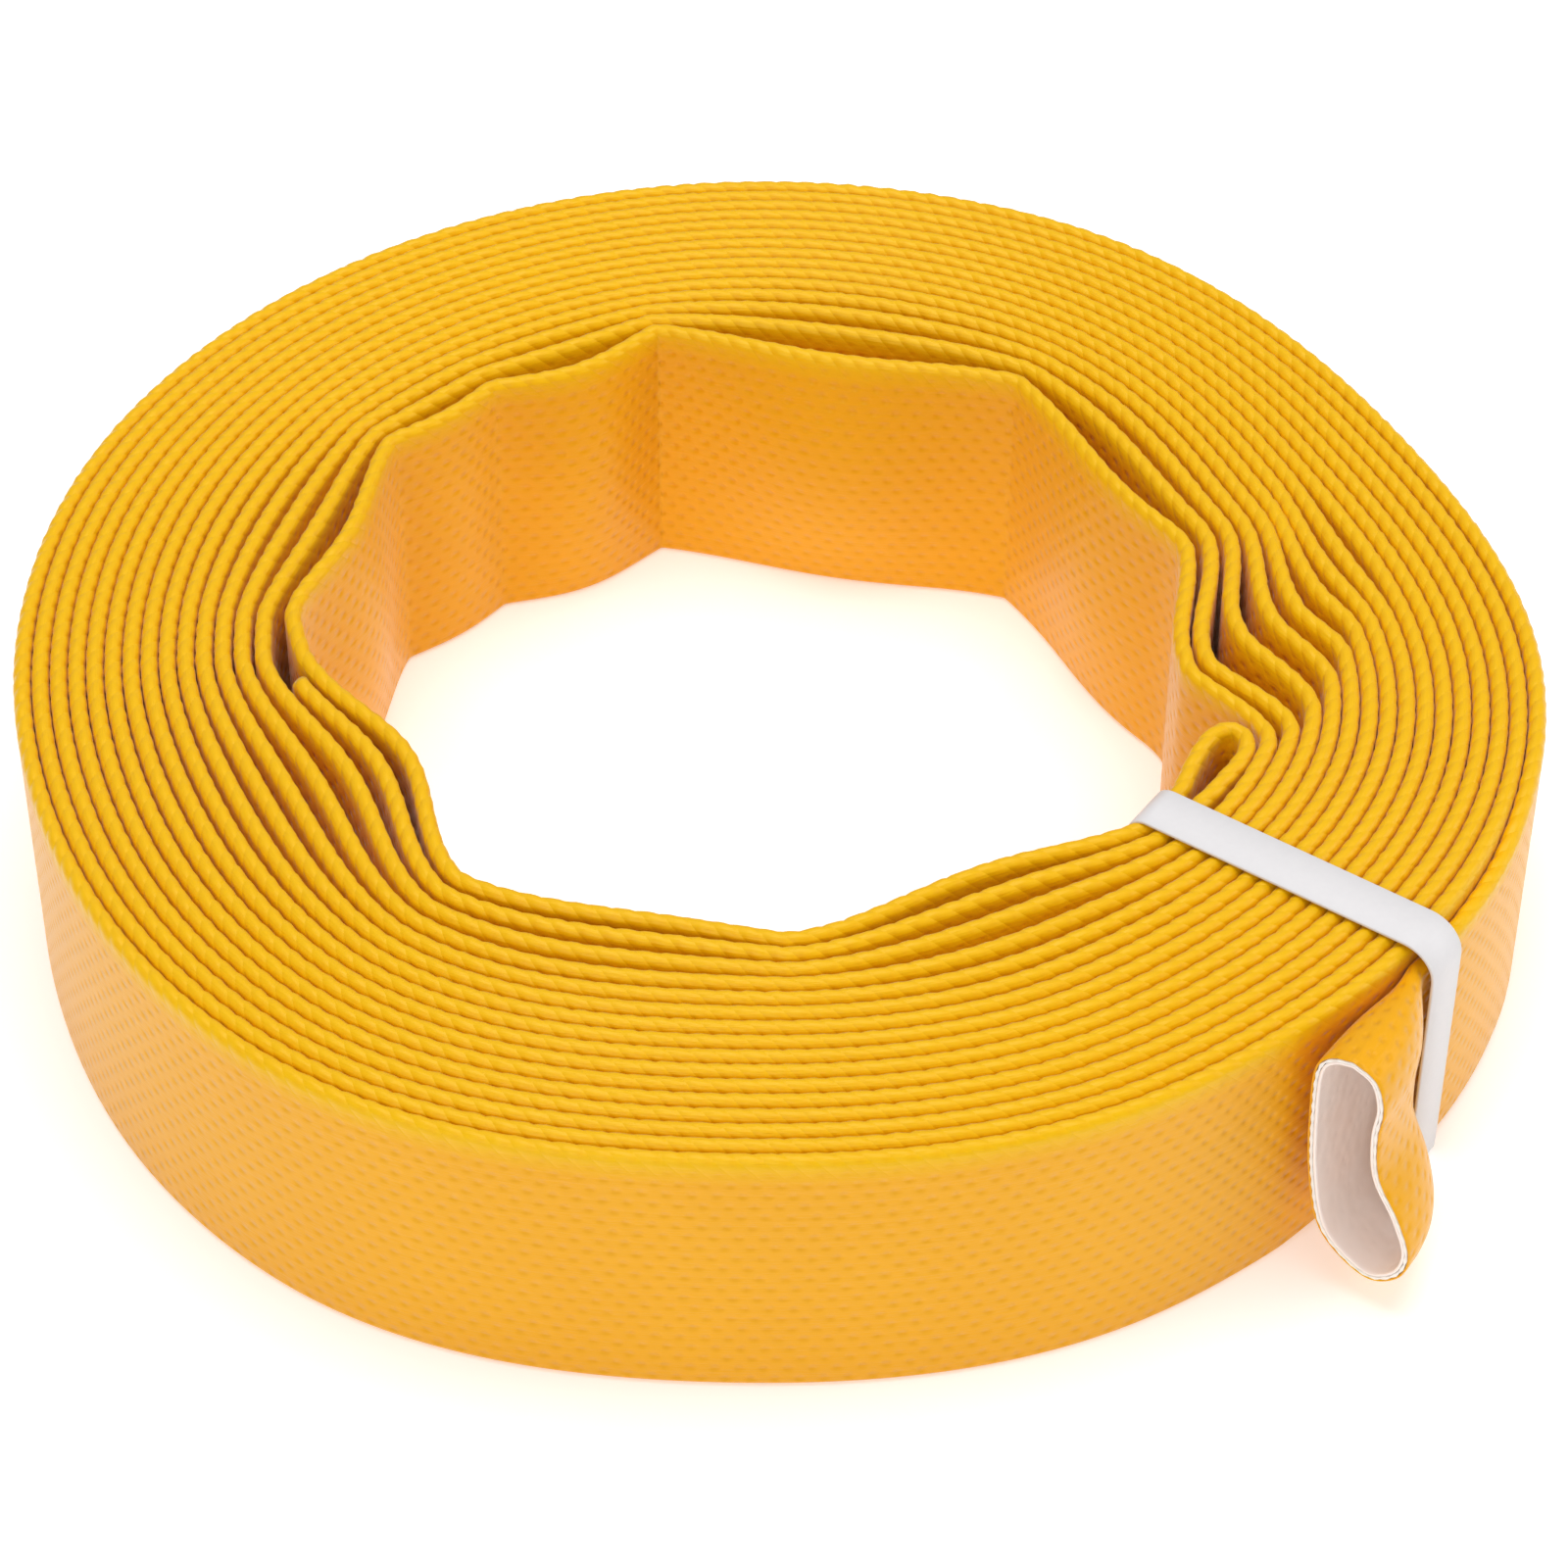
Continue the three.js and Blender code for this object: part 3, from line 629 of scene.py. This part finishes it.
def loose_layer(name, start, end, outside, inside, chamfer, scallop=0.0):
    """One layer of the loose end: a tube with a wall, its cut edges a little rounded."""
    steps = np.linspace(start, end - chamfer, RINGS_ALONG)
    waves = scallop * np.cos(np.arange(2 * HALF_ROUND) * np.pi / 2)[:, None]
    near_cut = np.clip((steps - end) / 1.2 + 1, 0, 1)
    outer = [loose_ring(step, outside - waves * near) for step, near in zip(steps, near_cut)]
    outer += [loose_ring(end, outside + chamfer - waves)]
    inner = [loose_ring(end, inside - chamfer + waves)]
    inner += [loose_ring(step, inside + waves * near) for step, near in zip(steps[::-1], near_cut[::-1])]
    rings = np.stack(outer + inner)
    rings = np.concatenate([rings, rings[:1]])
    count, around = rings.shape[0] - 1, rings.shape[1]
    corner = np.arange(count * around).reshape(count, around)
    faces = [[int(corner[i, j]), int(corner[i, (j + 1) % around]),
              int(corner[(i + 1) % count, (j + 1) % around]), int(corner[(i + 1) % count, j])]
             for i in range(count) for j in range(around)]
    mesh = bpy.data.meshes.new(name)
    mesh.from_pydata(rings[:-1].reshape(-1, 3).tolist(), [], faces)
    chart = mesh.uv_layers.new(name="weave")
    girths = np.linspace(-HOSE_WIDTH, HOSE_WIDTH, around + 1) * MM
    travels = np.concatenate([steps, [end, end], steps[::-1], steps[:1]]) * -MM
    charted = [(travels[a], girths[b]) for i in range(count) for j in range(around)
               for a, b in ((i, j), (i, j + 1), (i + 1, j + 1), (i + 1, j))]
    chart.data.foreach_set("uv", np.array(charted).ravel())
    work = bmesh.new()
    work.from_mesh(mesh)
    bmesh.ops.recalc_face_normals(work, faces=work.faces)
    work.to_mesh(mesh)
    work.free()
    mesh.shade_smooth()
    made = bpy.data.objects.new(name, mesh)
    bpy.context.scene.collection.objects.link(made)
    return made


def joined_to_roll(layer, node):
    """Bakes a layer's placement into its mesh and hides the CAD part it stands in for."""
    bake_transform(layer)
    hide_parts(node)


SKIN, YARN_WALL, LINING_WALL, PLY_GAP = 0.36, 0.42, 0.50, 0.11
loose_cover = loose_layer("loose_end_vinyl_cover", 0.2, LOOSE_SPAN, 0.0, SKIN, 0.12)
loose_cover.data.materials.append(vinyl("loose_end_vinyl"))
joined_to_roll(loose_cover, "free_end_cover")

# ---------------------------------------------------------------- the loose end: its woven yarns
# Between the two skins runs a tube woven of polyester yarn, which takes the pressure. Its cut edge
# stands a little proud of the vinyl, white and scalloped by the yarns.
INNER_START = 10.0
YARN_PROUD, SCALLOP = 0.28, 0.10
yarn_out, yarn_in = SKIN + PLY_GAP, SKIN + PLY_GAP + YARN_WALL
loose_yarns = loose_layer("loose_end_woven_yarns", INNER_START, LOOSE_SPAN + YARN_PROUD, yarn_out, yarn_in,
                          0.06, SCALLOP)
yarn_paint, yarn_tree, yarn_shader = material("white_polyester_yarn")
yarn_shader.inputs["Base Color"].default_value = (0.93, 0.90, 0.85, 1)
yarn_shader.inputs["Roughness"].default_value = 0.8
yarn_shader.inputs["Sheen Weight"].default_value = 0.3
yarn_place = add_node(yarn_tree, "ShaderNodeTexCoord").outputs["Object"]
yarn_lumps = add_node(yarn_tree, "ShaderNodeTexVoronoi", {"Vector": yarn_place, "Scale": 700.0}).outputs[0]
yarn_tree.links.new(add_node(yarn_tree, "ShaderNodeBump", {
    "Height": yarn_lumps, "Strength": 0.9, "Distance": 0.0003}).outputs[0], yarn_shader.inputs["Normal"])
loose_yarns.data.materials.append(yarn_paint)
joined_to_roll(loose_yarns, "free_end_reinforcement")

# ---------------------------------------------------------------- the loose end: its white lining
# The lining is the water's side of the hose: a smooth white skin that shows the yarns as rows of
# shallow dimples, seen through the mouth.
lining_out = yarn_in + PLY_GAP
loose_lining = loose_layer("loose_end_white_lining", INNER_START, LOOSE_SPAN + 0.05, lining_out,
                           lining_out + LINING_WALL, 0.15)
loose_lining.data.materials.append(white_lining)
joined_to_roll(loose_lining, "free_end_lining")

# ---------------------------------------------------------------- the retaining band
# One loop of pale plastic strapping, 9 mm wide, drawn tight round the whole bundle of turns: over
# the top, down outside the loose end, and back under the roll in the groove it presses there.
BAND_WIDTH, BAND_THICKNESS, BAND_EDGE = 9.0, 0.6, 0.14
BAND_SLACK, CORNER_STEPS = 0.12, 10
CORNERS = {"inner_top": 3.0, "outer_top": 5.8, "outer_bottom": 1.6, "inner_bottom": 2.2}
crossed = np.linspace(-3.3, 3.3, 23)
inside_r = (winding_radius(TURNS * 360 + crossed)).min() - HOSE_THICKNESS / 2 - BAND_SLACK - BAND_THICKNESS
slid = np.linspace(0, BAND_SLIDE + 2.2, 9)
outside_r = winding_radius(slid).max() + HOSE_THICKNESS / 2 + BAND_SLACK + 0.5 * BAND_THICKNESS
top_z = HOSE_WIDTH + 0.16 + BAND_SLACK + 0.5 * BAND_THICKNESS
bottom_z = GROOVE_DEPTH - 0.24 - 0.5 * BAND_THICKNESS
loop = []
for (r, z, radius), first in zip(
        ((outside_r, top_z, CORNERS["outer_top"]), (inside_r, top_z, CORNERS["inner_top"]),
         (inside_r, bottom_z, CORNERS["inner_bottom"]), (outside_r, bottom_z, CORNERS["outer_bottom"])),
        (0, 90, 180, 270)):
    centre = (r - math.copysign(radius, r - 0.5 * (inside_r + outside_r)),
              z - math.copysign(radius, z - 0.5 * (top_z + bottom_z)))
    for step in range(CORNER_STEPS + 1):
        angle = math.radians(first + 90 * step / CORNER_STEPS)
        loop.append((centre[0] + radius * math.cos(angle), centre[1] + radius * math.sin(angle),
                     math.cos(angle), math.sin(angle)))
along_r = np.array([math.cos(math.radians(BAND_AZIMUTH)), math.sin(math.radians(BAND_AZIMUTH))])
across = np.array([-along_r[1], along_r[0]])
w, t, e = BAND_WIDTH / 2, BAND_THICKNESS / 2, BAND_EDGE
strap_section = [(w - e, t), (w, t - e), (w, e - t), (w - e, -t),
                 (e - w, -t), (-w, e - t), (-w, t - e), (e - w, t)]
rings = []
for r, z, out_r, out_z in loop:
    ring = []
    for wide, thick in strap_section:
        plan = along_r * (r + out_r * thick) + across * wide
        ring.append((*(plan * MM + WINDING_AXIS), (z + out_z * thick) * MM))
    rings.append(ring)
rings = np.array(rings)
count, around = rings.shape[:2]
corner = np.arange(count * around).reshape(count, around)
band_mesh = bpy.data.meshes.new("retaining_strap")
band_mesh.from_pydata(rings.reshape(-1, 3).tolist(), [], [
    [int(corner[i, j]), int(corner[i, (j + 1) % around]), int(corner[(i + 1) % count, (j + 1) % around]),
     int(corner[(i + 1) % count, j])] for i in range(count) for j in range(around)])
work = bmesh.new()
work.from_mesh(band_mesh)
bmesh.ops.recalc_face_normals(work, faces=work.faces)
work.to_mesh(band_mesh)
work.free()
band_mesh.shade_smooth()
strap = bpy.data.objects.new("retaining_strap", band_mesh)
bpy.context.scene.collection.objects.link(strap)
strap_paint, strap_tree, strap_shader = material("pale_strap_plastic")
strap_place = add_node(strap_tree, "ShaderNodeTexCoord").outputs["Object"]
strap_grain = add_node(strap_tree, "ShaderNodeTexNoise", {
    "Vector": strap_place, "Scale": 900.0, "Detail": 3.0}).outputs[0]
strap_tree.links.new(mixed(strap_tree, strap_grain, (0.76, 0.74, 0.745, 1), (0.72, 0.70, 0.71, 1)),
                     strap_shader.inputs["Base Color"])
strap_tree.links.new(add_node(strap_tree, "ShaderNodeBump", {
    "Height": strap_grain, "Strength": 0.25, "Distance": 0.0001}).outputs[0], strap_shader.inputs["Normal"])
strap_shader.inputs["Roughness"].default_value = 0.5
band_mesh.materials.append(strap_paint)
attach(strap, "band")
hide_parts("retaining_band")

# ---------------------------------------------------------------- floor and light
# A plain pale table top, one large soft light above and weaker ones at the sides.
floor_mesh = bpy.data.meshes.new("table_top")
floor_mesh.from_pydata([(-3, -3, 0), (3, -3, 0), (3, 3, 0), (-3, 3, 0)], [], [(0, 1, 2, 3)])
floor = bpy.data.objects.new("table_top", floor_mesh)
bpy.context.scene.collection.objects.link(floor)
floor_paint, _, floor_shader = material("pale_table_top")
floor_shader.inputs["Base Color"].default_value = (0.95, 0.95, 0.95, 1)
floor_shader.inputs["Roughness"].default_value = 0.8
floor_shader.inputs["Emission Color"].default_value = (1, 1, 1, 1)
floor_shader.inputs["Emission Strength"].default_value = 0.30
floor_mesh.materials.append(floor_paint)
for name, place, size, power in (("overhead", (0.0, 0.1, 1.6), 1.3, 15),
                                 ("front", (-0.5, -1.5, 1.0), 1.0, 7.5),
                                 ("right", (1.5, 0.2, 0.8), 1.0, 6)):
    lamp = bpy.data.lights.new(name, "AREA")
    lamp.shape, lamp.size, lamp.energy = "DISK", size, power
    stand = bpy.data.objects.new(name, lamp)
    stand.location = place
    towards = np.array([0, 0, 0.03]) - np.array(place)
    stand.rotation_euler = (math.atan2(math.hypot(*towards[:2]), -towards[2]), 0,
                            math.atan2(towards[1], towards[0]) - math.pi / 2)
    bpy.context.scene.collection.objects.link(stand)
world = bpy.data.worlds.new("studio")
world.use_nodes = True
world.node_tree.nodes["Background"].inputs["Color"].default_value = (1, 1, 1, 1)
world.node_tree.nodes["Background"].inputs["Strength"].default_value = 0.40
bpy.context.scene.world = world
bpy.context.scene.view_settings.view_transform = "Standard"
